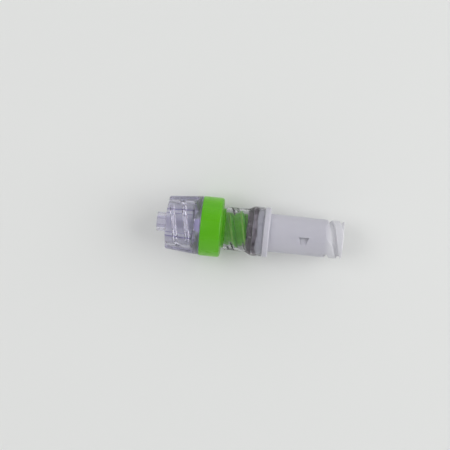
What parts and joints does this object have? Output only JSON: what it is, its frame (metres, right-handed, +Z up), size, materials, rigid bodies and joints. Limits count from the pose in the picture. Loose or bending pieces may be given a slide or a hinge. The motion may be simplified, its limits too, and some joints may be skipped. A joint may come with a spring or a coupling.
{
  "type": "needle free connector",
  "caption": "Slim clear and lavender needle free infusion connector with a split septum, screwed onto a check valve with a green ring, a lock collar and a male cone.",
  "frame": {"origin": "middle of the connector's length, on the ground under the green ring", "axes": "+X along the connector from the male cone to the access end, +Z up, the vent window that shows in the picture faces up"},
  "size_m": [0.0388, 0.0124, 0.0124],
  "materials": {
    "violet_clear": "clear, violet tinted, glossy",
    "green_clear": "translucent green, glossy",
    "grey_clear": "clear, faintly grey, glossy",
    "lavender_plastic": "milky lavender, fine matte",
    "septum_silicone": "milky silicone, satin",
    "valve_silicone": "milky silicone, satin"
  },
  "bodies": {
    "shell": {"valve_base": "violet_clear", "valve_disc": "valve_silicone", "valve_cap": "green_clear", "connector_base": "grey_clear", "housing": "lavender_plastic"},
    "septum": {"septum": "septum_silicone"}
  },
  "joints": [
    {"name": "septum_press", "type": "slide", "parent": "shell", "child": "septum", "axis": [-1, 0, 0], "range_m": [0, 0.0045], "stiffness_N_per_m": 600, "deforming": ["septum"]}
  ]
}
